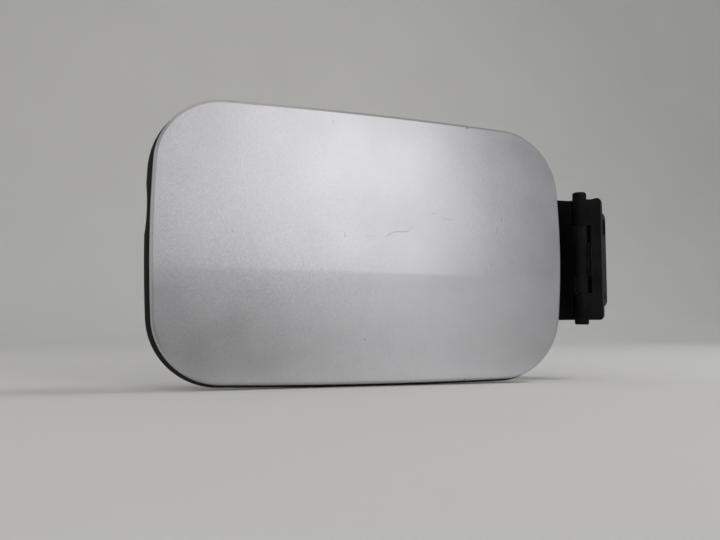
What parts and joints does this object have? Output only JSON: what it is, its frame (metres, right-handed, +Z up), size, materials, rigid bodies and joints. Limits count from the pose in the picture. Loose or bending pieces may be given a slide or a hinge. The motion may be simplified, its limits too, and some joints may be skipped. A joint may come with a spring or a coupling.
{
  "type": "car fuel door",
  "caption": "Silver painted fuel filler door with a crowned face, a black inner panel, a swan-neck hinge on a screw-on base, a catch eye and a pocket for the filler cap.",
  "frame": {"origin": "middle of the hinge base's two screw holes, on the face that seats on the car", "axes": "+X from the door to the hinge, +Y into the car, +Z up along the hinge axis; the painted face looks along -Y"},
  "size_m": [0.2367, 0.0477, 0.1214],
  "materials": {
    "silver_paint": "silver metallic paint under clear lacquer, lightly scratched",
    "black_moulding": "black moulded plastic with a fine grain",
    "zinc_steel": "zinc-plated steel",
    "black_steel": "black coated steel",
    "spring_steel": "rolled spring steel",
    "stop_rubber": "soft black rubber"
  },
  "bodies": {
    "hinge_base": {"hinge_base": "black_moulding", "hinge_pin": "black_steel", "pin_retainer": "black_moulding", "detent_spring": "spring_steel"},
    "door": {"outer_skin": "silver_paint", "inner_panel": "black_moulding", "hinge_arm": "black_moulding", "arm_screws": "zinc_steel", "catch_tongue": "black_moulding", "catch_screws": "zinc_steel", "bump_stop_upper": "stop_rubber", "bump_stop_lower": "stop_rubber", "cap_holder": "black_moulding", "holder_screws": "zinc_steel"}
  },
  "joints": [
    {"name": "door_hinge", "type": "hinge", "parent": "hinge_base", "child": "door", "pos_m": [-0.0166, -0.0092, 0], "axis": [0, 0, 1], "range_deg": [0, 95], "deforming": ["detent_spring"]}
  ]
}
